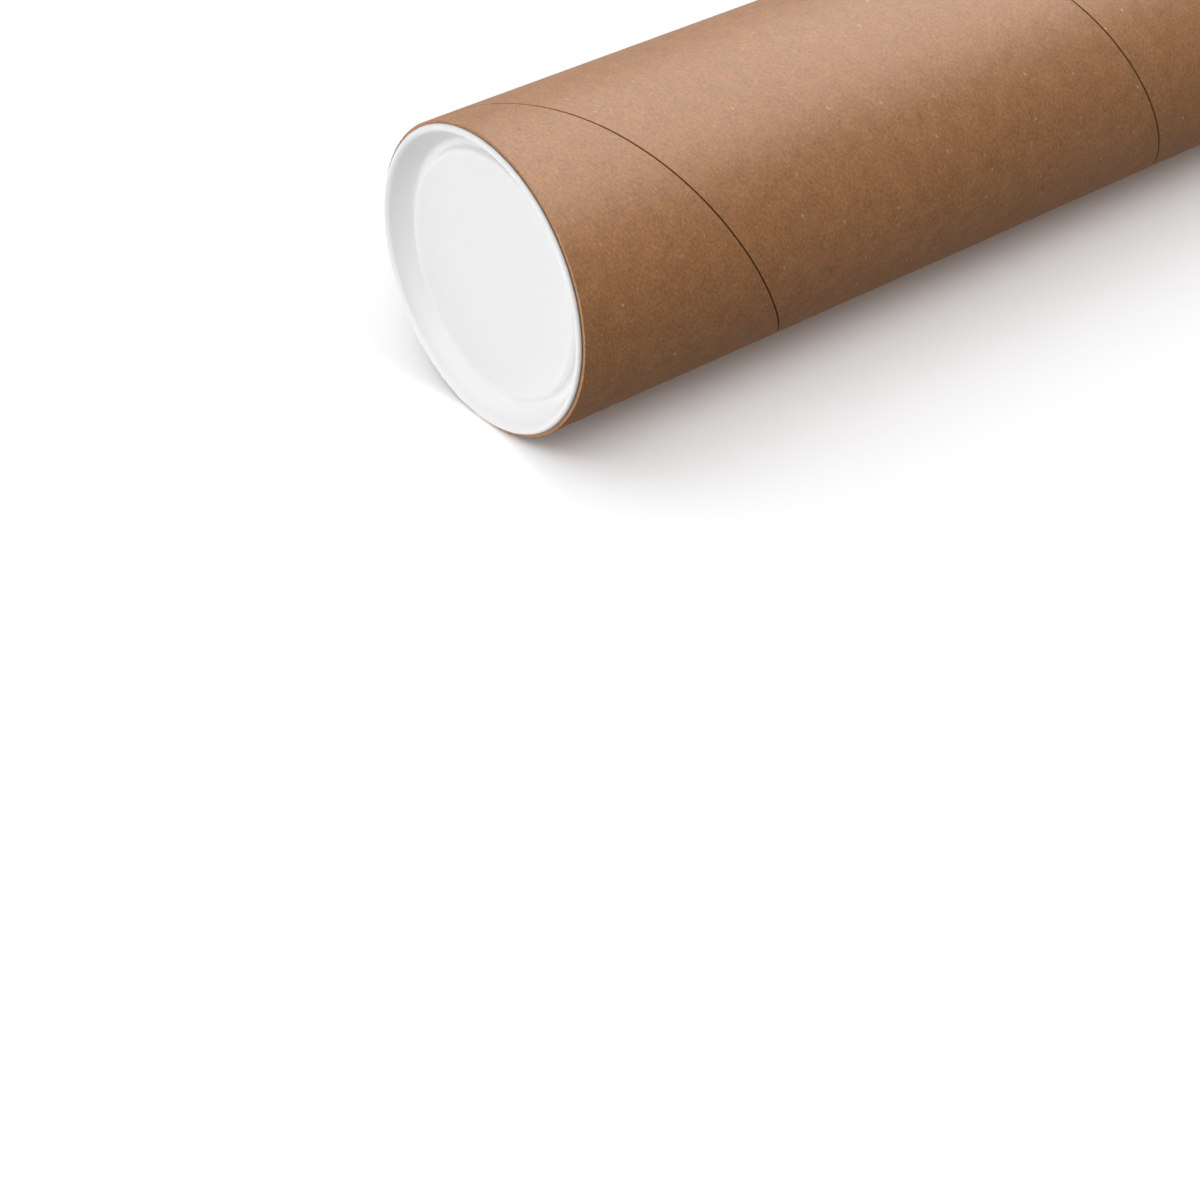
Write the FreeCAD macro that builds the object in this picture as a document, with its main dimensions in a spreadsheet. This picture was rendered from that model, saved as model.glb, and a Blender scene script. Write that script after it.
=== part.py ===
import FreeCAD, Part
import math
import os

import Sketcher

# Cardboard mailing tube with a push-in plastic cap at each end.
# Millimetres. The tube stands on its lower cap: +Z runs up its axis, and the origin is the centre
# of the lower cap's rim, where it rests.

# Driving dimensions: name, value, what it measures
SIZES = [
    ("tube_length", 470, "cut length of the cardboard tube"),
    ("tube_bore", 76, "inside diameter of the tube"),
    ("tube_wall", 2, "thickness of the wound cardboard wall"),
    ("seam_pitch", 138, "rise of the outer ply's butt seam in one turn"),
    ("seam_width", 0.4, "gap between the ply's edges, along the tube"),
    ("seam_depth", 0.3, "thickness of the outer ply, so depth of the gap"),
    ("seam_lead", 14.5, "height above the tube's end where the seam would cross the +X side"),
    ("flange_reach", 1.15, "how far a cap's flange laps over the end of the wall"),
    ("flange_height", 1.1, "thickness of the flange"),
    ("flange_bevel", 0.3, "bevel under the flange's outer edge"),
    ("rim_width", 1.6, "width of the rim round the dished face"),
    ("rim_bevel", 0.4, "bevel of the rim's two edges"),
    ("plug_length", 20, "depth that a cap's skirt goes into the bore"),
    ("plug_gap", 0.2, "clearance between the skirt and the bore"),
    ("plug_lead", 3, "height of the lead-in at the skirt's end"),
    ("plug_inset", 0.5, "how far the lead-in draws the skirt's end in"),
    ("cap_wall", 1.2, "thickness of the moulding"),
    ("dish_run", 3.6, "how far the sloping wall inside the rim runs inwards"),
    ("panel_drop", 2.8, "depth of the raised panel below the tube's end"),
    ("panel_bevel", 0.5, "bevel of the panel's edge"),
    ("panel_draft", 0.4, "draft of the step beside the panel"),
    ("groove_width", 2.2, "width of the groove round the panel"),
    ("groove_depth", 2.4, "depth of the groove below the panel"),
    ("groove_bevel", 0.6, "bevel in the groove's two corners"),
]

# Largest share of a wall that one bevel on it may take
BEVEL_SHARE = 0.35

# Part of its expected volume by which the seam's cut may differ
SEAM_TOLERANCE = 0.05

doc = FreeCAD.newDocument("mailing_tube")
sheet = doc.addObject("Spreadsheet::Sheet", "Sizes")
for row, (alias, value, meaning) in enumerate(SIZES, start=1):
    sheet.set(f"A{row}", alias)
    sheet.set(f"B{row}", str(value))
    sheet.set(f"C{row}", meaning)
    sheet.setAlias(f"B{row}", alias)
doc.recompute()


def size(expression):
    """Value in millimetres of an expression over the sheet's names."""
    return float(sheet.evalExpression(expression))


def named(expression):
    """The expression as other objects write it, with the sheet named before each alias."""
    for alias, _, _ in SIZES:
        expression = expression.replace(alias, f"Sizes.{alias}")
    return expression


def bind(target, attribute, expression):
    target.setExpression(attribute, named(expression))


def origin_plane(body, role):
    """One of the body's own origin planes."""
    return next(item for item in body.Origin.OriginFeatures if item.Role == role)


def half_section(body, name, corners):
    """Closed outline on the body's XZ plane, each corner held at its radius and height."""
    sketch = body.newObject("Sketcher::SketchObject", name)
    sketch.AttachmentSupport = [(origin_plane(body, "XZ_Plane"), "")]
    sketch.MapMode = "FlatFace"
    points = [FreeCAD.Vector(size(radius), size(height), 0) for radius, height in corners]
    for index, start in enumerate(points):
        end = points[(index + 1) % len(points)]
        sketch.addGeometry(Part.LineSegment(start, end), False)
    for index in range(len(points)):
        previous = (index - 1) % len(points)
        sketch.addConstraint(Sketcher.Constraint("Coincident", previous, 2, index, 1))
    for index, (radius, height) in enumerate(corners):
        for kind, expression in (("DistanceX", radius), ("DistanceY", height)):
            made = sketch.addConstraint(Sketcher.Constraint(kind, index, 1, size(expression)))
            bind(sketch, f"Constraints[{made}]", expression)
    return sketch


def revolve(body, name, sketch):
    """Full turn of a half section about the tube's axis."""
    turned = body.newObject("PartDesign::Revolution", name)
    turned.Profile = sketch
    turned.ReferenceAxis = (sketch, ["V_Axis"])
    turned.Angle = 360
    doc.recompute()
    return turned


def ring_edges(feature, radius, height):
    """Names of the circular edges of this radius at this height."""
    names = []
    for number, edge in enumerate(feature.Shape.Edges, start=1):
        if not isinstance(edge.Curve, Part.Circle):
            continue
        near_radius = math.isclose(edge.Curve.Radius, size(radius), abs_tol=1e-4)
        near_height = math.isclose(edge.Curve.Center.z, size(height), abs_tol=1e-4)
        if near_radius and near_height:
            names.append(f"Edge{number}")
    return names


def bevel_rings(body, name, rings, width):
    """Bevel of one width on the circular edges at the given radii and heights."""
    base = body.Tip
    edges = [edge for ring in rings for edge in ring_edges(base, *ring)]
    if len(edges) != len(rings):
        raise RuntimeError(f"{name} found {len(edges)} of {len(rings)} edges to bevel")
    chamfer = body.newObject("PartDesign::Chamfer", name)
    chamfer.Base = (base, edges)
    bind(chamfer, "Size", width)
    doc.recompute()


# Tube: a plain wound wall, with the outer ply's butt seam running round it as a shallow helix
def make_tube():
    body = doc.addObject("PartDesign::Body", "tube")
    body.Label = "tube"
    inner = "tube_bore / 2"
    outer = "(tube_bore / 2 + tube_wall)"
    wall = half_section(body, "wall_section", [
        (inner, "0"),
        (outer, "0"),
        (outer, "tube_length"),
        (inner, "tube_length"),
    ])
    revolve(body, "wall", wall)
    plain_volume = body.Shape.Volume

    turns = "ceil((tube_length + seam_lead + seam_width) / seam_pitch)"
    start = f"(tube_length + seam_lead - seam_pitch * {turns})"
    gap = half_section(body, "seam_section", [
        (f"{outer} - seam_depth", f"{start} - seam_width / 2"),
        (f"{outer} + seam_depth", f"{start} - seam_width / 2"),
        (f"{outer} + seam_depth", f"{start} + seam_width / 2"),
        (f"{outer} - seam_depth", f"{start} + seam_width / 2"),
    ])
    seam = body.newObject("PartDesign::SubtractiveHelix", "seam")
    seam.Profile = gap
    seam.ReferenceAxis = (gap, ["V_Axis"])
    seam.Mode = "pitch-height-angle"
    bind(seam, "Pitch", "seam_pitch")
    bind(seam, "Height", f"seam_pitch * {turns}")
    seam.Angle = 0
    seam.LeftHanded = False
    seam.Reversed = False
    doc.recompute()

    section = "seam_depth * seam_width"
    path = f"2 * pi * ({outer} - seam_depth / 2) * tube_length / seam_pitch"
    expected = size(f"{section} * {path}")
    removed = plain_volume - body.Shape.Volume
    if not math.isclose(removed, expected, rel_tol=SEAM_TOLERANCE):
        raise RuntimeError(f"the seam cut {removed:.1f} mm3 instead of {expected:.1f} mm3")
    bind(body, "Placement.Base.z", "flange_height")
    return body


# Cap: one thin moulding. Its flange laps on the end of the wall, its skirt goes into the bore, and
# inside the rim a sloping wall runs down to a groove round a raised panel. Its height is counted
# from the end of the tube, outwards.
def make_cap(label):
    body = doc.addObject("PartDesign::Body", label)
    body.Label = label
    flange = "(tube_bore / 2 + flange_reach)"
    rim = f"({flange} - rim_width)"
    groove_outer = f"({rim} - dish_run)"
    panel = f"({groove_outer} - groove_width)"
    groove_inner = f"({panel} + panel_draft)"
    groove_floor = "(panel_drop + groove_depth)"
    skirt = "(tube_bore / 2 - plug_gap)"
    skirt_inside = f"({skirt} - cap_wall)"

    # The sloping wall falls this far, along this length, and the moulding keeps its thickness
    fall = f"({groove_floor} + flange_height)"
    slope = f"sqrt(dish_run ^ 2 + {fall} ^ 2)"
    under_groove = f"({groove_floor} + cap_wall)"
    under_outer = f"({groove_outer} + cap_wall * ({slope} - dish_run) / {fall})"
    joint_run = f"({skirt_inside} - {groove_outer} - cap_wall * {slope} / {fall})"
    joint_depth = f"({groove_floor} - {joint_run} * {fall} / dish_run)"

    section = half_section(body, "cap_section", [
        ("0", "-panel_drop"),
        (panel, "-panel_drop"),
        (groove_inner, f"-{groove_floor}"),
        (groove_outer, f"-{groove_floor}"),
        (rim, "flange_height"),
        (flange, "flange_height"),
        (flange, "0"),
        (skirt, "0"),
        (skirt, "-(plug_length - plug_lead)"),
        (f"{skirt} - plug_inset", "-plug_length"),
        (skirt_inside, "-plug_length"),
        (skirt_inside, f"-{joint_depth}"),
        (under_outer, f"-{under_groove}"),
        (f"{groove_inner} - cap_wall", f"-{under_groove}"),
        (f"{panel} - cap_wall", "-(panel_drop + cap_wall)"),
        ("0", "-(panel_drop + cap_wall)"),
    ])
    revolve(body, "moulding", section)
    bevel_rings(
        body, "rim_edges",
        [(rim, "flange_height"), (flange, "flange_height")],
        f"min(rim_bevel; {BEVEL_SHARE} * rim_width; {BEVEL_SHARE} * flange_height)",
    )
    bevel_rings(
        body, "flange_edge",
        [(flange, "0")],
        f"min(flange_bevel; {BEVEL_SHARE} * flange_height; {BEVEL_SHARE} * flange_reach)",
    )
    bevel_rings(
        body, "panel_edge",
        [(panel, "-panel_drop")],
        f"min(panel_bevel; {BEVEL_SHARE} * groove_depth)",
    )
    bevel_rings(
        body, "groove_corners",
        [(groove_inner, f"-{groove_floor}"), (groove_outer, f"-{groove_floor}")],
        f"min(groove_bevel; {BEVEL_SHARE} * groove_depth; {BEVEL_SHARE} * groove_width)",
    )
    return body


tube = make_tube()

top_cap = make_cap("top_cap")
bind(top_cap, "Placement.Base.z", "flange_height + tube_length")

bottom_cap = make_cap("bottom_cap")
bottom_cap.Placement.Rotation = FreeCAD.Rotation(FreeCAD.Vector(1, 0, 0), 180)
bind(bottom_cap, "Placement.Base.z", "flange_height")
doc.recompute()

# Every object has to be sound before any piece is written
for item in doc.Objects:
    if "Invalid" in item.State or "Error" in item.State:
        raise RuntimeError(f"{item.Label} did not compute: {item.State}")

os.makedirs("parts", exist_ok=True)
for piece in (tube, top_cap, bottom_cap):
    shape = piece.Shape
    if shape.isNull() or not shape.isValid() or len(shape.Solids) != 1:
        raise RuntimeError(f"{piece.Label} is not one sound solid")
    shape.exportStep(f"parts/{piece.Label}.step")
    box = shape.BoundBox
    print(piece.Label, f"z {box.ZMin:.2f} to {box.ZMax:.2f}, volume {shape.Volume:.0f} mm3")
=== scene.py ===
import math

import bmesh
import bpy
from bpy.props import FloatProperty, FloatVectorProperty, IntProperty, PointerProperty
from mathutils import Matrix, Vector


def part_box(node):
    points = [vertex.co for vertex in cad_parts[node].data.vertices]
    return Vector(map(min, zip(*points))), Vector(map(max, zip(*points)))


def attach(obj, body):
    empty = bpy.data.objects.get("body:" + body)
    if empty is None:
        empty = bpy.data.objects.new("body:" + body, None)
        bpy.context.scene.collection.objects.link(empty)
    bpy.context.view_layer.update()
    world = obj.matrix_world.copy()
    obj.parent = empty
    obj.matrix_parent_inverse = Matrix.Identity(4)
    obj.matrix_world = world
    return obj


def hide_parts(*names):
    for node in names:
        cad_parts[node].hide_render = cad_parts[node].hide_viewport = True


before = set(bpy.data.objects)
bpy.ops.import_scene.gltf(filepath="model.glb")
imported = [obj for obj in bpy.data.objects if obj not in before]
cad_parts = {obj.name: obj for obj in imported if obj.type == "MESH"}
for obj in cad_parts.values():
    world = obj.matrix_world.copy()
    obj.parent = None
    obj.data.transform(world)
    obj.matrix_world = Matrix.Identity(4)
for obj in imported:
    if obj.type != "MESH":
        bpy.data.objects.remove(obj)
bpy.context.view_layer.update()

bl_info = {
    "name": "Mailing Tube",
    "version": (1, 0, 0),
    "blender": (4, 5, 0),
    "location": "3D View > Sidebar > Mailing Tube",
    "description": "Dresses a spiral-wound cardboard mailing tube and its two end caps",
    "category": "Add Mesh",
}

# Where the cut ends of the cardboard and the caps stand, from the frame
TUBE_LOW, TUBE_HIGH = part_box("tube")
CAP_LOW, CAP_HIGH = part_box("top_cap")
OUTER_RADIUS = (TUBE_HIGH[0] - TUBE_LOW[0]) / 2
FLANGE_RADIUS = (CAP_HIGH[0] - CAP_LOW[0]) / 2
LOWER_END = TUBE_LOW[2]
UPPER_END = TUBE_HIGH[2]
FLANGE_HEIGHT = CAP_HIGH[2] - UPPER_END
PLUG_LENGTH = UPPER_END - CAP_LOW[2]

# A whole turn, and its facets on the turned and the wound shapes
FULL_TURN = 2 * math.pi
TURN_STEPS = 240

# Edges sharper than this keep a crease in the shading
CREASE = math.radians(24)

# Points nearer than this are one point
MERGE_DISTANCE = 1e-7

# A cut end's faces have more than this of their normal along the tube, and lie this near to its end
SQUARE_FACE = 0.9
END_MARGIN = 1e-5

# The liners' map, in metres, with X along the strip that each is wound from
PAPER_MAP = "paper"

# Spacing of the plies that show as rings on the cut board
PLY_SPACING = 0.00042

# Light Path's Ray Depth stays below this for light that comes straight from a lamp
DIRECT_DEPTH = 1.5

# The camera: its place in tube radii from the middle of the upper cut end, and its picture's axes
CAMERA_PLACE = Vector((-11.7606, -9.0894, 8.6906))
CAMERA_RIGHT = Vector((-0.62611, -0.01356, -0.77961))
CAMERA_BACK = Vector((-0.60706, -0.61901, 0.49830))
SENSOR_WIDTH = 36


class WallSizes(bpy.types.PropertyGroup):
    """Sizes of the cardboard wall and its seams"""

    bore_radius: FloatProperty(
        name="Bore radius", description="Inside radius of the cardboard tube",
        default=0.038, unit="LENGTH", precision=4,
    )
    ply: FloatProperty(
        name="Liner thickness", description="Thickness of the outer and the inner liner ply",
        default=0.0003, unit="LENGTH", precision=5,
    )
    seam_pitch: FloatProperty(
        name="Seam pitch", description="Rise of a liner's butt seam in one turn",
        default=0.138, unit="LENGTH", precision=4,
    )
    seam_gap: FloatProperty(
        name="Seam gap", description="Gap between the edges of a liner, along the tube",
        default=0.0005, unit="LENGTH", precision=5,
    )
    seam_lead: FloatProperty(
        name="Seam lead",
        description="Height above the tube's end where the outer seam would cross the +X side",
        default=0.0145, unit="LENGTH", precision=4,
    )
    inner_seam_lead: FloatProperty(
        name="Inner seam lead", description="The same height for the seam inside the bore",
        default=0.083, unit="LENGTH", precision=4,
    )
    edge_bevel: FloatProperty(
        name="Edge bevel", description="Bevel of a liner's cut edges",
        default=0.00005, unit="LENGTH", precision=5,
    )


class CapSizes(bpy.types.PropertyGroup):
    """Sizes of the half section that both caps are turned from"""

    wall: FloatProperty(
        name="Wall", description="Thickness of the moulding",
        default=0.0012, unit="LENGTH", precision=4,
    )
    rim_width: FloatProperty(
        name="Rim width", description="Width of the rounded rim",
        default=0.0016, unit="LENGTH", precision=4,
    )
    rim_round: FloatProperty(
        name="Rim rounding", description="Rounding of the rim's outer edge",
        default=0.0007, unit="LENGTH", precision=5,
    )
    rim_sweep: FloatProperty(
        name="Rim sweep", description="Wider rounding of the rim's inner edge, down to the sloping wall",
        default=0.0015, unit="LENGTH", precision=5,
    )
    flange_round: FloatProperty(
        name="Flange rounding", description="Rounding under the flange's outer edge",
        default=0.0002, unit="LENGTH", precision=5,
    )
    flange_lift: FloatProperty(
        name="Flange lift", description="Open joint between the flange's outer part and the cut end",
        default=0.0003, unit="LENGTH", precision=5,
    )
    foot_width: FloatProperty(
        name="Foot width", description="Width of the flange's inner part that sits on the cut end",
        default=0.0004, unit="LENGTH", precision=5,
    )
    dish_run: FloatProperty(
        name="Dish run", description="How far the sloping wall inside the rim runs inwards",
        default=0.0036, unit="LENGTH", precision=4,
    )
    groove_width: FloatProperty(
        name="Groove width", description="Width of the groove round the panel",
        default=0.0022, unit="LENGTH", precision=4,
    )
    groove_depth: FloatProperty(
        name="Groove depth", description="Depth of the groove below the panel",
        default=0.0024, unit="LENGTH", precision=4,
    )
    groove_round: FloatProperty(
        name="Groove rounding", description="Rounding in the groove's corner beside the panel",
        default=0.0009, unit="LENGTH", precision=5,
    )
    groove_sweep: FloatProperty(
        name="Groove sweep", description="Wider rounding from the sloping wall into the groove",
        default=0.0017, unit="LENGTH", precision=5,
    )
    panel_drop: FloatProperty(
        name="Panel drop", description="Depth of the panel below the tube's end",
        default=0.0028, unit="LENGTH", precision=4,
    )
    panel_round: FloatProperty(
        name="Panel rounding", description="Rounding of the panel's edge",
        default=0.0014, unit="LENGTH", precision=5,
    )
    panel_draft: FloatProperty(
        name="Panel draft", description="Draft of the step beside the panel",
        default=0.0004, unit="LENGTH", precision=5,
    )
    plug_gap: FloatProperty(
        name="Plug gap", description="Clearance between the skirt and the bore",
        default=0.0002, unit="LENGTH", precision=5,
    )
    plug_lead: FloatProperty(
        name="Lead-in height", description="Height of the lead-in at the skirt's end",
        default=0.003, unit="LENGTH", precision=4,
    )
    plug_inset: FloatProperty(
        name="Lead-in inset", description="How far the lead-in draws the skirt's end in",
        default=0.0005, unit="LENGTH", precision=5,
    )
    round_steps: IntProperty(
        name="Rounding steps", description="Facets in each rounded corner", default=6, min=1,
    )


class Finishes(bpy.types.PropertyGroup):
    """Colours of the paper and the plastic"""

    liner: FloatVectorProperty(
        name="Liner", description="Brown of the outer and inner liner",
        default=(0.5, 0.223, 0.081), subtype="COLOR", size=3, min=0, max=1,
    )
    board: FloatVectorProperty(
        name="Board", description="Paler brown of the cut board",
        default=(0.39, 0.24, 0.14), subtype="COLOR", size=3, min=0, max=1,
    )
    # Bottom of the seams: board that glue makes darker, and painted shade of the narrow seam gap, which
    # makes it near-black
    glued_and_shaded: FloatVectorProperty(
        name="Glued plies", description="Dark brown of the glued plies in the bottom of a seam",
        default=(0.05, 0.025, 0.012), subtype="COLOR", size=3, min=0, max=1,
    )
    pale_fleck: FloatVectorProperty(
        name="Pale fibres", description="Colour of the pale fibres in the paper",
        default=(0.9, 0.66, 0.42), subtype="COLOR", size=3, min=0, max=1,
    )
    dark_fleck: FloatVectorProperty(
        name="Dark fibres", description="Colour of the dark fibres in the paper",
        default=(0.2, 0.09, 0.04), subtype="COLOR", size=3, min=0, max=1,
    )
    plastic: FloatVectorProperty(
        name="Plastic", description="White of the moulded caps",
        default=(0.92, 0.92, 0.92), subtype="COLOR", size=3, min=0, max=1,
    )


class StageSizes(bpy.types.PropertyGroup):
    """The floor, the strength of each light, and the lens"""

    floor_size: FloatProperty(
        name="Floor size", description="Side of the pale floor that the tube touches",
        default=8.0, unit="LENGTH",
    )
    floor_colour: FloatVectorProperty(
        name="Floor",
        description="White of the floor as it is seen, cool against the light that the tube throws",
        default=(1.58, 1.62, 1.65), subtype="COLOR", size=3, min=0, max=2,
    )
    mirrored_colour: FloatVectorProperty(
        name="Mirrored floor", description="White of the floor as glossy surfaces mirror it",
        default=(0.78, 0.78, 0.78), subtype="COLOR", size=3, min=0, max=1,
    )
    bounce_colour: FloatVectorProperty(
        name="Bounce", description="Grey of the light that the floor throws back",
        default=(0.06, 0.06, 0.06), subtype="COLOR", size=3, min=0, max=1,
    )
    sky: FloatProperty(name="Sky", description="Level of the studio's even light", default=0.3)
    key: FloatProperty(name="Key lamp", description="Soft lamp high on the lens's side", default=0.65)
    overhead: FloatProperty(name="Overhead", description="Soft lamp high above the top cap", default=0.45)
    side: FloatProperty(name="Side lamp", description="Soft lamp low on the lens's side", default=0.1)
    face_on: FloatProperty(name="Face lamp", description="Soft lamp on the top cap's face", default=1.83)
    face_back: FloatProperty(
        name="Far face lamp", description="Soft lamp on the bottom cap's face", default=0.25,
    )
    under: FloatProperty(
        name="Under lamp", description="Soft lamp on the side that lies on the floor", default=1.8,
    )
    sheen: FloatProperty(
        name="Sheen lamp", description="Wide soft lamp mirrored along the tube's top", default=4.4,
    )
    lens: FloatProperty(name="Lens", description="Focal length of the camera in millimetres", default=85.486)


def merge_points(mesh):
    """Joins the points that lie in one place."""
    bmesh.ops.remove_doubles(mesh, verts=mesh.verts[:], dist=MERGE_DISTANCE)


def finish_mesh(name, mesh, materials):
    """Object from a bmesh, its creases marked, standing at the origin."""
    merge_points(mesh)
    for face in mesh.faces:
        face.smooth = True
    for edge in mesh.edges:
        edge.smooth = edge.calc_face_angle(0.0) < CREASE
    data = bpy.data.meshes.new(name)
    mesh.to_mesh(data)
    mesh.free()
    for material in materials:
        data.materials.append(material)
    piece = bpy.data.objects.new(name, data)
    bpy.context.scene.collection.objects.link(piece)
    return piece


def node(tree, kind, **values):
    """Node of a kind with its settings, and its unlinked inputs set by name."""
    made = tree.nodes.new(kind)
    for key, value in values.pop("inputs", {}).items():
        made.inputs[key].default_value = value
    for key, value in values.items():
        setattr(made, key, value)
    return made


def maths(tree, operation, first, second=0.0, third=None):
    """Output of a Math node on sockets or numbers."""
    made = tree.nodes.new("ShaderNodeMath")
    made.operation = operation
    for index, value in enumerate((first, second, third)):
        if value is None:
            continue
        if isinstance(value, (int, float)):
            made.inputs[index].default_value = value
        else:
            tree.links.new(value, made.inputs[index])
    return made.outputs[0]


def ranged(tree, mask, low, high):
    """Output that runs from low to high as the mask goes from 0 to 1."""
    return maths(tree, "MULTIPLY_ADD", mask, high - low, low)


def blend_colours(tree, factor, first, second, kind="MIX"):
    """Output of a colour Mix node on sockets or colours."""
    made = node(tree, "ShaderNodeMix", data_type="RGBA", blend_type=kind)

    # The node's sockets for colours stand at 6 and 7, after those for numbers and vectors
    sockets = {"Factor": made.inputs[0], "A": made.inputs[6], "B": made.inputs[7]}
    for key, value in (("Factor", factor), ("A", first), ("B", second)):
        if isinstance(value, bpy.types.NodeSocket):
            tree.links.new(value, sockets[key])
        else:
            sockets[key].default_value = value
    return made.outputs[2]


def stretched(tree, vector, scale, shift=(0, 0, 0)):
    """A vector put through a Mapping node."""
    made = node(tree, "ShaderNodeMapping", inputs={"Scale": scale, "Location": shift})
    tree.links.new(vector, made.inputs["Vector"])
    return made.outputs[0]


def noise(tree, vector, scale, detail, roughness):
    """Value of a Noise Texture node."""
    made = node(
        tree, "ShaderNodeTexNoise",
        inputs={"Scale": scale, "Detail": detail, "Roughness": roughness},
    )
    tree.links.new(vector, made.inputs["Vector"])
    return made.outputs[0]


def flecks(tree, vector, scale, radius, share):
    """Mask of small specks: dots in a share of the cells of a Voronoi texture.

    Their sizes differ, from 0.4 to 1.4 of the radius.
    """
    made = node(tree, "ShaderNodeTexVoronoi", inputs={"Scale": scale})
    tree.links.new(vector, made.inputs["Vector"])
    split = node(tree, "ShaderNodeSeparateColor")
    tree.links.new(made.outputs["Color"], split.inputs[0])
    chosen = maths(tree, "LESS_THAN", split.outputs[0], share)
    size = ranged(tree, split.outputs[1], 0.4 * radius, 1.4 * radius)
    dot = node(tree, "ShaderNodeMapRange", inputs={"From Max": 0.0, "To Min": 0.0, "To Max": 1.0})
    tree.links.new(made.outputs["Distance"], dot.inputs["Value"])
    tree.links.new(size, dot.inputs["From Min"])
    return maths(tree, "MULTIPLY", dot.outputs[0], chosen)


def kraft_group():
    """Unbleached paper: cloudy tone, fine grain, drawn-out fibres, pale and dark flecks.

    It reads a vector in metres, and the fibres are drawn out along its X.
    """
    tree = bpy.data.node_groups.new("Kraft Paper", "ShaderNodeTree")
    sockets = (
        ("Vector", "NodeSocketVector", "INPUT"),
        ("Paper", "NodeSocketColor", "INPUT"),
        ("Pale Fleck", "NodeSocketColor", "INPUT"),
        ("Dark Fleck", "NodeSocketColor", "INPUT"),
        ("Tone", "NodeSocketFloat", "INPUT"),
        ("Color", "NodeSocketColor", "OUTPUT"),
        ("Roughness", "NodeSocketFloat", "OUTPUT"),
        ("Height", "NodeSocketFloat", "OUTPUT"),
    )
    for name, kind, way in sockets:
        tree.interface.new_socket(name=name, in_out=way, socket_type=kind)
    given = tree.nodes.new("NodeGroupInput")
    result = tree.nodes.new("NodeGroupOutput")
    place = given.outputs["Vector"]

    # Clouds and mottle in the pulp, fibres along the strip, and marks of the mill's wire across it
    cloud = noise(tree, place, scale=38.0, detail=3.0, roughness=0.5)
    mottle = noise(tree, place, scale=190.0, detail=4.0, roughness=0.78)
    lengthways = stretched(tree, place, (800.0, 1900.0, 1.0))
    fibre = noise(tree, lengthways, scale=1.0, detail=3.0, roughness=0.6)
    crossways = stretched(tree, place, (2200.0, 1000.0, 1.0), (0.3, 0.7, 0.0))
    wire = noise(tree, crossways, scale=1.0, detail=2.0, roughness=0.5)

    # Each texture is a half on average, so the tone swings about nought
    weights = ((cloud, 0.08), (mottle, 0.38), (fibre, 0.46), (wire, 0.30))
    tone = -sum(weight for _, weight in weights) / 2
    for texture, weight in weights:
        tone = maths(tree, "MULTIPLY_ADD", texture, weight, tone)
    swing = maths(tree, "MULTIPLY", tone, given.outputs["Tone"])

    # Green swings more than red and blue most, so dark paper is browner and pale paper greyer
    shade = node(tree, "ShaderNodeCombineColor")
    for socket, share in zip(shade.inputs, (1.0, 1.25, 1.7)):
        tree.links.new(maths(tree, "MULTIPLY_ADD", swing, share, 1.0), socket)
    colour = blend_colours(tree, 1.0, given.outputs["Paper"], shade.outputs[0], "MULTIPLY")

    pale_place = stretched(tree, place, (0.8, 1.5, 1.0))
    pale = flecks(tree, pale_place, scale=230.0, radius=0.12, share=0.55)
    dark_place = stretched(tree, place, (0.6, 1.8, 1.0), (3.1, 1.7, 0.0))
    dark = flecks(tree, dark_place, scale=260.0, radius=0.1, share=0.35)
    for dots, strength, name in ((pale, 0.85, "Pale Fleck"), (dark, 0.5, "Dark Fleck")):
        factor = maths(tree, "MULTIPLY", dots, strength)
        colour = blend_colours(tree, factor, colour, given.outputs[name])
    tree.links.new(colour, result.inputs["Color"])
    tree.links.new(ranged(tree, mottle, 0.42, 0.58), result.inputs["Roughness"])

    # The relief is the mean of the fibres and the mottle
    height = maths(tree, "ADD", maths(tree, "MULTIPLY", fibre, 0.5), maths(tree, "MULTIPLY", mottle, 0.5))
    tree.links.new(height, result.inputs["Height"])
    return tree


def colour4(colour):
    """A colour as sockets take it, with alpha."""
    return (colour[0], colour[1], colour[2], 1.0)


def new_material(name):
    """Material with a Principled surface, and that surface's node."""
    material = bpy.data.materials.new(name)
    material.use_nodes = True
    return material, material.node_tree, material.node_tree.nodes["Principled BSDF"]


def add_bump(tree, surface, height, depth, strength):
    """Relief on a surface. depth is in metres."""
    bump = node(tree, "ShaderNodeBump", inputs={"Distance": depth, "Strength": strength})
    tree.links.new(height, bump.inputs["Height"])
    tree.links.new(bump.outputs[0], surface.inputs["Normal"])


def kraft_material(name, group, paper, finishes, tone, vector_of):
    """Paper of one colour, with its tree, its surface and the shared group's node in it.

    tone is how strongly its light and dark vary.
    """
    material, tree, surface = new_material(name)
    paper_node = tree.nodes.new("ShaderNodeGroup")
    paper_node.node_tree = group
    paper_node.inputs["Paper"].default_value = colour4(paper)
    paper_node.inputs["Pale Fleck"].default_value = colour4(finishes.pale_fleck)
    paper_node.inputs["Dark Fleck"].default_value = colour4(finishes.dark_fleck)
    paper_node.inputs["Tone"].default_value = tone
    tree.links.new(vector_of(tree), paper_node.inputs["Vector"])
    return material, tree, surface, paper_node


def uv_vector(tree):
    """Place on a liner's strip of paper."""
    return node(tree, "ShaderNodeUVMap", uv_map=PAPER_MAP).outputs[0]


def object_vector(tree):
    """Place in the object's own space."""
    return tree.nodes.new("ShaderNodeTexCoord").outputs["Object"]


def liner_material(name, group, finishes):
    """Smooth kraft liner, seen outside and in the bore."""
    material, tree, surface, paper = kraft_material(
        name, group, finishes.liner, finishes, tone=2.1, vector_of=uv_vector
    )
    tree.links.new(paper.outputs["Color"], surface.inputs["Base Color"])
    tree.links.new(paper.outputs["Roughness"], surface.inputs["Roughness"])
    surface.inputs["Specular IOR Level"].default_value = 0.45
    add_bump(tree, surface, paper.outputs["Height"], depth=0.00008, strength=0.35)
    return material


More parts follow.
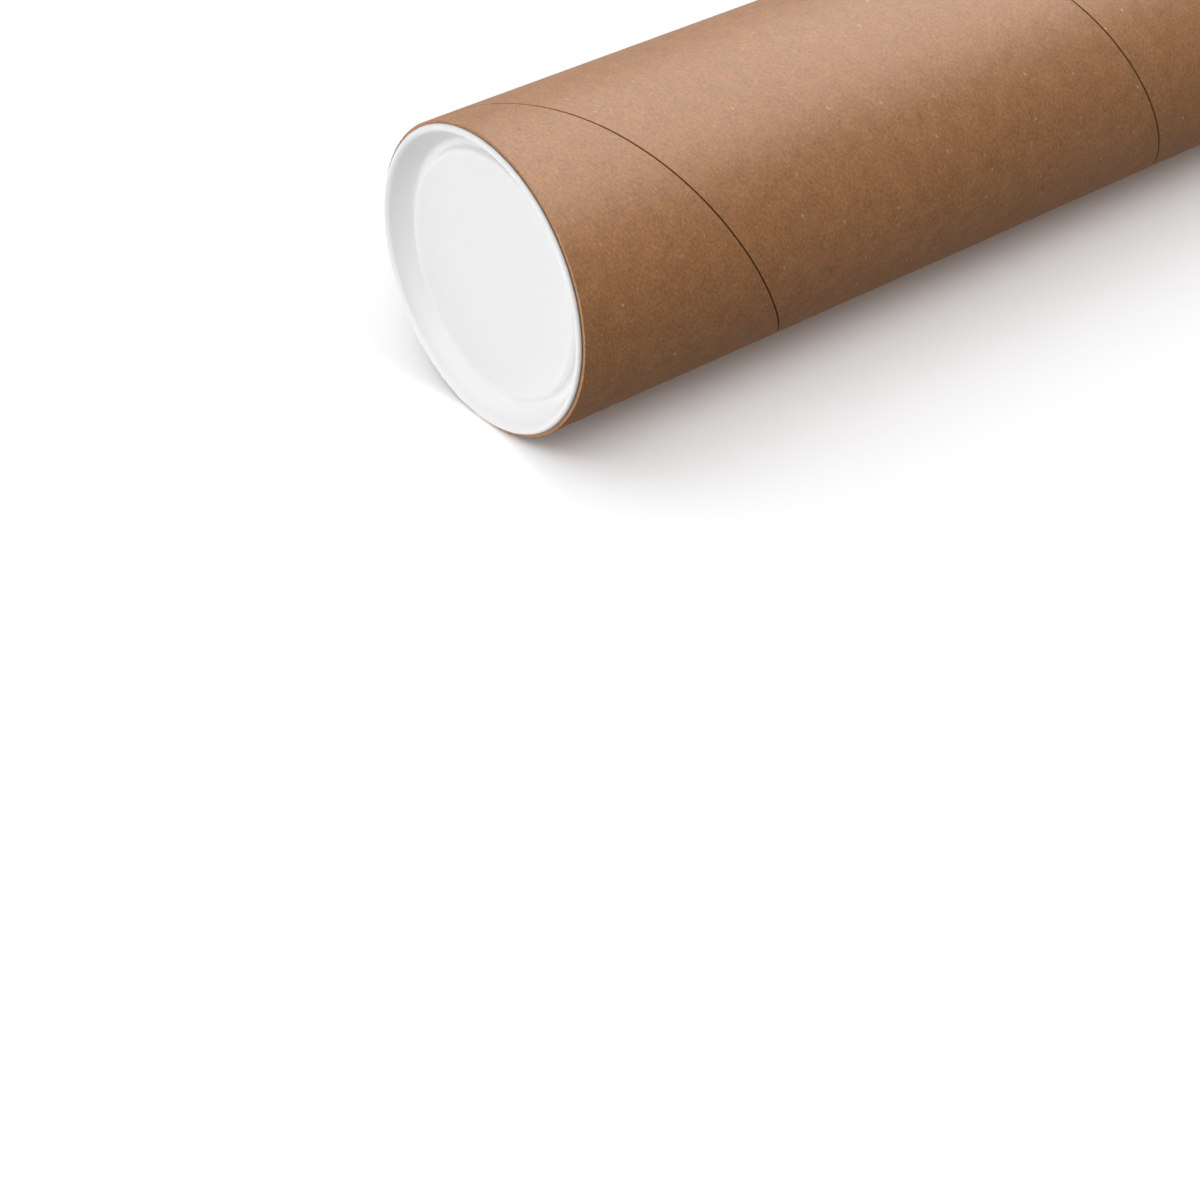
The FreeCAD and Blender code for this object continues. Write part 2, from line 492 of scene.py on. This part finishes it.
def seam_shade_material(name, group, finishes):
    """Glue-soaked side of the middle plies, seen only through the seams, darkened almost to black as painted
    shade in the seams' narrow gaps.
    """
    material, tree, surface, paper = kraft_material(
        name, group, finishes.glued_and_shaded, finishes, tone=1.0, vector_of=object_vector
    )
    tree.links.new(paper.outputs["Color"], surface.inputs["Base Color"])
    surface.inputs["Roughness"].default_value = 0.9
    return material


def board_material(name, group, finishes):
    """Cut end of the board: rough fibres, with the plies as rings."""
    material, tree, surface, paper = kraft_material(
        name, group, finishes.board, finishes, tone=1.4, vector_of=object_vector
    )
    place = object_vector(tree)
    split = tree.nodes.new("ShaderNodeSeparateXYZ")
    tree.links.new(place, split.inputs[0])
    across = maths(tree, "MULTIPLY", split.outputs[0], split.outputs[0])
    radius = maths(tree, "SQRT", maths(tree, "MULTIPLY_ADD", split.outputs[1], split.outputs[1], across))

    # How far a point is from the nearest joint of two plies, counted in plies: near a joint it darkens
    wander = noise(tree, place, scale=300.0, detail=2.0, roughness=0.5)
    count = maths(tree, "MULTIPLY_ADD", radius, 1.0 / PLY_SPACING, wander)
    ring = maths(tree, "PINGPONG", count, 0.5)
    line = node(
        tree, "ShaderNodeMapRange",
        inputs={"From Min": 0.0, "From Max": 0.14, "To Min": 0.62, "To Max": 1.0},
    )
    tree.links.new(ring, line.inputs["Value"])
    shade = node(tree, "ShaderNodeCombineColor")
    for socket in shade.inputs:
        tree.links.new(line.outputs[0], socket)
    colour = blend_colours(tree, 1.0, paper.outputs["Color"], shade.outputs[0], "MULTIPLY")
    tree.links.new(colour, surface.inputs["Base Color"])
    surface.inputs["Roughness"].default_value = 0.85
    height = maths(tree, "MULTIPLY_ADD", line.outputs[0], 0.5, paper.outputs["Height"])
    add_bump(tree, surface, height, depth=0.00015, strength=0.6)
    return material


def plastic_material(name, finishes):
    """White moulded plastic, satin, with the faint grain of the mould."""
    material, tree, surface = new_material(name)
    place = object_vector(tree)
    grain = noise(tree, place, scale=1800.0, detail=3.0, roughness=0.55)
    cloud = noise(tree, place, scale=55.0, detail=3.0, roughness=0.5)
    duller = [value * 0.985 for value in finishes.plastic]
    tint = blend_colours(tree, cloud, colour4(duller), colour4(finishes.plastic))
    tree.links.new(tint, surface.inputs["Base Color"])
    tree.links.new(ranged(tree, cloud, 0.42, 0.52), surface.inputs["Roughness"])
    surface.inputs["Specular IOR Level"].default_value = 0.35
    surface.inputs["Subsurface Weight"].default_value = 0.6
    surface.inputs["Subsurface Radius"].default_value = (1.0, 1.0, 1.0)
    surface.inputs["Subsurface Scale"].default_value = 0.003
    add_bump(tree, surface, grain, depth=0.00002, strength=0.12)
    return material


def map_paper(mesh, pitch, start, gap):
    """UV map in metres on a wound ply: X runs along its strip, Y across it."""
    layer = mesh.loops.layers.uv.new(PAPER_MAP)
    tilt = math.atan2(pitch, FULL_TURN * OUTER_RADIUS)
    for face in mesh.faces:
        for loop in face.loops:
            point = loop.vert.co
            angle = math.atan2(point.y, point.x)
            rise = pitch * angle / FULL_TURN
            turn = math.floor((point.z - start - rise + gap / 2) / pitch)
            around = (angle + FULL_TURN * turn) * OUTER_RADIUS
            along = around * math.cos(tilt) + point.z * math.sin(tilt)
            across = point.z * math.cos(tilt) - around * math.sin(tilt)
            loop[layer].uv = (along, across)


def closed_section(mesh, corners):
    """Closed outline in the XZ plane through (radius, height) corners, given as its points."""
    points = [mesh.verts.new((radius, 0, height)) for radius, height in corners]
    for start, end in zip(points, points[1:] + points[:1]):
        mesh.edges.new((start, end))
    return points


def bevel_corners(mesh, points, reach, steps):
    """Bevels corners of an outline, as far as reach along their edges."""
    bmesh.ops.bevel(
        mesh, geom=points, offset=reach, offset_type="OFFSET", segments=steps,
        profile=0.5, affect="VERTICES", material=-1,
    )


def full_turn(mesh):
    """Turns the outline in the mesh once about the Z axis, into a closed shape."""
    bmesh.ops.spin(
        mesh, geom=mesh.verts[:] + mesh.edges[:], cent=(0, 0, 0), axis=(0, 0, 1), dvec=(0, 0, 0),
        angle=FULL_TURN, steps=TURN_STEPS, use_merge=True, use_duplicate=False,
    )
    merge_points(mesh)
    bmesh.ops.recalc_face_normals(mesh, faces=mesh.faces[:])


def cut_end(mesh, height, outwards):
    """Saws the mesh off square at a height and closes the cut. outwards is 1 for up, -1 for down."""
    parts = mesh.verts[:] + mesh.edges[:] + mesh.faces[:]
    bmesh.ops.bisect_plane(
        mesh, geom=parts, dist=MERGE_DISTANCE, plane_co=(0, 0, height), plane_no=(0, 0, outwards),
        clear_outer=True,
    )
    rim = [edge for edge in mesh.edges if edge.is_boundary]
    bmesh.ops.holes_fill(mesh, edges=rim, sides=0)


def in_cut_end(face):
    """Whether a face lies in the saw cut at one of the tube's ends."""
    height = face.calc_center_median().z
    near_end = height > UPPER_END - END_MARGIN or height < LOWER_END + END_MARGIN
    return near_end and abs(face.normal.z) > SQUARE_FACE


def wound_ply(name, inner, outer, lead, sizes, seen_radius, materials):
    """One liner: a strip wound round the tube with its edges a gap apart, sawn off at both ends.

    seen_radius is the inner or the outer one, whichever shows: there the strip's edges are bevelled.
    """
    mesh = bmesh.new()
    turns = math.ceil((UPPER_END - LOWER_END + lead) / sizes.seam_pitch) + 1
    start = UPPER_END + lead - turns * sizes.seam_pitch + sizes.seam_gap / 2
    stop = start + sizes.seam_pitch - sizes.seam_gap
    corners = closed_section(mesh, ((inner, start), (outer, start), (outer, stop), (inner, stop)))
    seen = [corner for corner in corners if abs(corner.co.x - seen_radius) < MERGE_DISTANCE]
    bevel_corners(mesh, seen, sizes.edge_bevel, 1)
    bmesh.ops.spin(
        mesh, geom=mesh.verts[:] + mesh.edges[:], cent=(0, 0, 0), axis=(0, 0, 1),
        dvec=(0, 0, sizes.seam_pitch / TURN_STEPS), angle=FULL_TURN,
        steps=TURN_STEPS, use_merge=False, use_duplicate=False,
    )

    # The next turns repeat the first, and the saw cuts take off what stands out at the ends
    one_turn = mesh.verts[:] + mesh.edges[:] + mesh.faces[:]
    for turn in range(1, turns):
        more = bmesh.ops.duplicate(mesh, geom=one_turn)["geom"]
        verts = [item for item in more if isinstance(item, bmesh.types.BMVert)]
        bmesh.ops.translate(mesh, verts=verts, vec=(0, 0, turn * sizes.seam_pitch))
    merge_points(mesh)
    cut_end(mesh, UPPER_END, 1)
    cut_end(mesh, LOWER_END, -1)
    bmesh.ops.recalc_face_normals(mesh, faces=mesh.faces[:])
    map_paper(mesh, sizes.seam_pitch, start, sizes.seam_gap)
    for face in mesh.faces:
        if in_cut_end(face):
            face.material_index = 1
    return finish_mesh(name, mesh, materials)


def plain_wall(name, inner, outer, materials):
    """The glued middle plies, as one turned ring."""
    mesh = bmesh.new()
    closed_section(
        mesh, ((inner, LOWER_END), (outer, LOWER_END), (outer, UPPER_END), (inner, UPPER_END))
    )
    full_turn(mesh)
    # Faces other than the cut ends take the near-black seam colour: glued board plus painted shade where
    # they show through the seams
    for face in mesh.faces:
        face.material_index = 0 if in_cut_end(face) else 1
    return finish_mesh(name, mesh, materials)


def rounded_outline(mesh, corners, steps):
    """Open outline in the XZ plane through (radius, height, rounding) corners."""
    points = [mesh.verts.new((radius, 0, height)) for radius, height, _ in corners]
    for start, end in zip(points, points[1:]):
        mesh.edges.new((start, end))
    for point, (_, _, rounding) in zip(points, corners):
        if not rounding:
            continue
        arms = [edge.other_vert(point).co - point.co for edge in point.link_edges]
        reach = rounding / math.tan(arms[0].angle(arms[1]) / 2)
        bevel_corners(mesh, [point], reach, steps)


def cap_corners(sizes, bore_radius):
    """Half section of a cap, its heights counted outwards from the tube's end."""
    rim = FLANGE_RADIUS - sizes.rim_width
    groove_outer = rim - sizes.dish_run
    panel = groove_outer - sizes.groove_width
    groove_inner = panel + sizes.panel_draft
    floor = sizes.panel_drop + sizes.groove_depth
    skirt = bore_radius - sizes.plug_gap
    inside = skirt - sizes.wall

    # The sloping wall's underside meets the groove's at under_outer, and the skirt at the depth joint
    fall = floor + FLANGE_HEIGHT
    slope = math.hypot(sizes.dish_run, fall)
    under_outer = groove_outer + sizes.wall * (slope - sizes.dish_run) / fall
    joint_run = inside - groove_outer - sizes.wall * slope / fall
    joint = floor - joint_run * fall / sizes.dish_run
    under_round = sizes.wall / 2
    return [
        (0, -sizes.panel_drop, 0),
        (panel, -sizes.panel_drop, sizes.panel_round),
        (groove_inner, -floor, sizes.groove_round),
        (groove_outer, -floor, sizes.groove_sweep),
        (rim, FLANGE_HEIGHT, sizes.rim_sweep),
        (FLANGE_RADIUS, FLANGE_HEIGHT, sizes.rim_round),
        (FLANGE_RADIUS, sizes.flange_lift, sizes.flange_round),
        (bore_radius + sizes.foot_width, sizes.flange_lift, 0),
        (bore_radius + sizes.foot_width, 0, 0),
        (skirt, 0, 0),
        (skirt, sizes.plug_lead - PLUG_LENGTH, 0),
        (skirt - sizes.plug_inset, -PLUG_LENGTH, 0),
        (inside, -PLUG_LENGTH, 0),
        (inside, -joint, under_round),
        (under_outer, -floor - sizes.wall, under_round),
        (groove_inner - sizes.wall, -floor - sizes.wall, under_round),
        (panel - sizes.wall, -sizes.panel_drop - sizes.wall, under_round),
        (0, -sizes.panel_drop - sizes.wall, 0),
    ]


def turned_cap(name, place, sizes, bore_radius, material):
    """A cap turned from its half section and set on one end of the tube."""
    mesh = bmesh.new()
    rounded_outline(mesh, cap_corners(sizes, bore_radius), sizes.round_steps)
    full_turn(mesh)
    bmesh.ops.transform(mesh, matrix=place, verts=mesh.verts[:])
    piece = finish_mesh(name, mesh, [material])
    even = piece.modifiers.new("even_shading", "WEIGHTED_NORMAL")
    even.keep_sharp = True
    return piece


class MAILTUBE_OT_wound_wall(bpy.types.Operator):
    """Make the cardboard wall: middle plies between an outer and an inner liner"""

    bl_idname = "mailtube.wound_wall"
    bl_label = "Wound Wall"

    def execute(self, context):
        sizes = context.scene.mailtube_wall
        finishes = context.scene.mailtube_finishes
        group = kraft_group()
        liner = liner_material("kraft_liner", group, finishes)
        board = board_material("cut_board", group, finishes)
        # Near-black brown for the bottom of the seams: glue-darkened board with painted seam shade
        glued_and_shaded = seam_shade_material("glued_plies_and_seam_shade", group, finishes)
        core_inner = sizes.bore_radius + sizes.ply
        core_outer = OUTER_RADIUS - sizes.ply
        pieces = [
            plain_wall("middle_plies", core_inner, core_outer, [board, glued_and_shaded]),
            wound_ply(
                "outer_liner", core_outer, OUTER_RADIUS, sizes.seam_lead, sizes, OUTER_RADIUS,
                [liner, board],
            ),
            wound_ply(
                "inner_liner", sizes.bore_radius, core_inner, sizes.inner_seam_lead, sizes,
                sizes.bore_radius, [liner, board],
            ),
        ]
        for piece in pieces:
            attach(piece, "tube")
            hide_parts("tube")
        return {"FINISHED"}


class MAILTUBE_OT_end_caps(bpy.types.Operator):
    """Make the two push-in end caps, alike and face to face"""

    bl_idname = "mailtube.end_caps"
    bl_label = "End Caps"

    def execute(self, context):
        sizes = context.scene.mailtube_cap
        bore_radius = context.scene.mailtube_wall.bore_radius
        plastic = plastic_material("white_moulding", context.scene.mailtube_finishes)
        up = Matrix.Translation((0, 0, UPPER_END))
        down = Matrix.Translation((0, 0, LOWER_END)) @ Matrix.Rotation(math.pi, 4, "X")
        for body, place in (("top_cap", up), ("bottom_cap", down)):
            piece = turned_cap(f"{body}_moulding", place, sizes, bore_radius, plastic)
            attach(piece, body)
            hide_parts(body)
        return {"FINISHED"}


def stage_rays(tree):
    """Light Path node, and the mask of the rays that see the stage itself.

    Those are the camera's, and mirrored and refracted ones.
    """
    rays = tree.nodes.new("ShaderNodeLightPath")
    seen = maths(tree, "MAXIMUM", rays.outputs["Is Camera Ray"], rays.outputs["Is Glossy Ray"])
    return rays, maths(tree, "MAXIMUM", seen, rays.outputs["Is Transmission Ray"])


def floor_material(name, stage):
    """White where it is seen, a weak bounce on the object, and clear from behind and to shadow rays."""
    material = bpy.data.materials.new(name)
    material.use_nodes = True
    tree = material.node_tree
    tree.nodes.clear()
    rays, seen = stage_rays(tree)
    colour = blend_colours(tree, seen, colour4(stage.bounce_colour), colour4(stage.mirrored_colour))
    colour = blend_colours(tree, rays.outputs["Is Camera Ray"], colour, colour4(stage.floor_colour))
    front = tree.nodes.new("ShaderNodeBsdfDiffuse")
    tree.links.new(colour, front.inputs["Color"])
    clear = tree.nodes.new("ShaderNodeBsdfTransparent")
    side = tree.nodes.new("ShaderNodeNewGeometry")
    open_to = maths(tree, "MAXIMUM", side.outputs["Backfacing"], rays.outputs["Is Shadow Ray"])
    mix = tree.nodes.new("ShaderNodeMixShader")
    tree.links.new(open_to, mix.inputs[0])
    tree.links.new(front.outputs[0], mix.inputs[1])
    tree.links.new(clear.outputs[0], mix.inputs[2])
    output = tree.nodes.new("ShaderNodeOutputMaterial")
    tree.links.new(mix.outputs[0], output.inputs[0])
    return material


def soft_lamp(name, towards, strength, spread, direct_only=False, mirrored_only=False):
    """Distant soft lamp that stands in a direction as seen from the object, spread degrees wide.

    With direct_only its light isn't thrown on, so the shadow on the floor stays dark.
    With mirrored_only it shows in the sheen alone.
    """
    data = bpy.data.lights.new(name, "SUN")
    data.energy = strength
    data.angle = math.radians(spread)
    if direct_only:
        data.use_nodes = True
        tree = data.node_tree
        depth = tree.nodes.new("ShaderNodeLightPath").outputs["Ray Depth"]
        direct = maths(tree, "LESS_THAN", depth, DIRECT_DEPTH)
        tree.links.new(direct, tree.nodes["Emission"].inputs["Strength"])
    lamp = bpy.data.objects.new(name, data)
    lamp.rotation_euler = Vector(towards).to_track_quat("Z", "Y").to_euler()
    lamp.visible_diffuse = not mirrored_only
    bpy.context.scene.collection.objects.link(lamp)


def add_floor(stage):
    """Floor of the picture: the tube stands up in its own frame, and its +Y side lies on the floor."""
    mesh = bmesh.new()
    facing = Matrix.Rotation(math.pi / 2, 4, "X")
    centre = Matrix.Translation((0, OUTER_RADIUS, (LOWER_END + UPPER_END) / 2))
    bmesh.ops.create_grid(mesh, x_segments=1, y_segments=1, size=stage.floor_size / 2)
    bmesh.ops.transform(mesh, matrix=centre @ facing, verts=mesh.verts[:])
    floor = finish_mesh("stage_floor", mesh, [floor_material("stage_white", stage)])


def add_world(scene, stage):
    """Even light of the studio: white where it is seen, and at the sky's level where it lights."""
    world = bpy.data.worlds.new("studio")
    world.use_nodes = True
    scene.world = world
    tree = world.node_tree
    _, seen = stage_rays(tree)
    background = tree.nodes["Background"]
    background.inputs["Color"].default_value = (1, 1, 1, 1)
    tree.links.new(ranged(tree, seen, stage.sky, 1.0), background.inputs["Strength"])


def add_lamps(stage):
    """The studio's soft lamps, each with its direction, strength and width."""
    soft_lamp("key", (-0.4, -0.88, 0.6), stage.key, 35)
    soft_lamp("overhead", (0.35, -0.78, 0.53), stage.overhead, 45)
    soft_lamp("side", (-0.72, -0.6, 0.36), stage.side, 45)
    soft_lamp("face_on", (0.02, 0.08, 0.99), stage.face_on, 40)
    soft_lamp("face_back", (0.0, -0.6, -0.8), stage.face_back, 40)
    soft_lamp("under", (0.75, 0.66, 0.0), stage.under, 40, direct_only=True)
    soft_lamp("sheen", (0.12, -0.86, -0.5), stage.sheen, 80, mirrored_only=True)


def add_camera(scene, stage):
    """Camera at the photograph's angle."""
    data = bpy.data.cameras.new("camera")
    data.lens = stage.lens
    data.sensor_width = SENSOR_WIDTH
    camera = bpy.data.objects.new("camera", data)
    back = CAMERA_BACK.normalized()
    up = back.cross(CAMERA_RIGHT).normalized()
    right = up.cross(back)
    place = CAMERA_PLACE * OUTER_RADIUS + Vector((0, 0, UPPER_END))
    turn = Matrix((right, up, back)).transposed().to_4x4()
    camera.matrix_world = Matrix.Translation(place) @ turn
    scene.collection.objects.link(camera)
    scene.camera = camera


class MAILTUBE_OT_stage(bpy.types.Operator):
    """Set the pale floor, the soft studio light and the camera at the photograph's angle"""

    bl_idname = "mailtube.stage"
    bl_label = "Stage"

    def execute(self, context):
        scene = context.scene
        stage = scene.mailtube_stage
        add_floor(stage)
        add_world(scene, stage)
        add_lamps(stage)
        add_camera(scene, stage)
        scene.view_settings.view_transform = "Standard"
        return {"FINISHED"}


class MAILTUBE_PT_panel(bpy.types.Panel):
    """Sizes, finishes and the three steps that make the picture"""

    bl_label = "Mailing Tube"
    bl_space_type = "VIEW_3D"
    bl_region_type = "UI"
    bl_category = "Mailing Tube"

    def draw(self, context):
        scene = context.scene
        groups = (scene.mailtube_wall, scene.mailtube_cap, scene.mailtube_finishes, scene.mailtube_stage)
        for group in groups:
            box = self.layout.box()
            for name in type(group).__annotations__:
                box.prop(group, name)
        for step in STEPS:
            self.layout.operator(step.bl_idname)


STEPS = (MAILTUBE_OT_wound_wall, MAILTUBE_OT_end_caps, MAILTUBE_OT_stage)
CLASSES = (WallSizes, CapSizes, Finishes, StageSizes) + STEPS + (MAILTUBE_PT_panel,)


def register():
    for part in CLASSES:
        bpy.utils.register_class(part)
    bpy.types.Scene.mailtube_wall = PointerProperty(type=WallSizes)
    bpy.types.Scene.mailtube_cap = PointerProperty(type=CapSizes)
    bpy.types.Scene.mailtube_finishes = PointerProperty(type=Finishes)
    bpy.types.Scene.mailtube_stage = PointerProperty(type=StageSizes)


def unregister():
    del bpy.types.Scene.mailtube_stage
    del bpy.types.Scene.mailtube_finishes
    del bpy.types.Scene.mailtube_cap
    del bpy.types.Scene.mailtube_wall
    for part in reversed(CLASSES):
        bpy.utils.unregister_class(part)


def main():
    register()
    bpy.ops.mailtube.wound_wall()
    bpy.ops.mailtube.end_caps()
    bpy.ops.mailtube.stage()


if __name__ == "__main__":
    main()
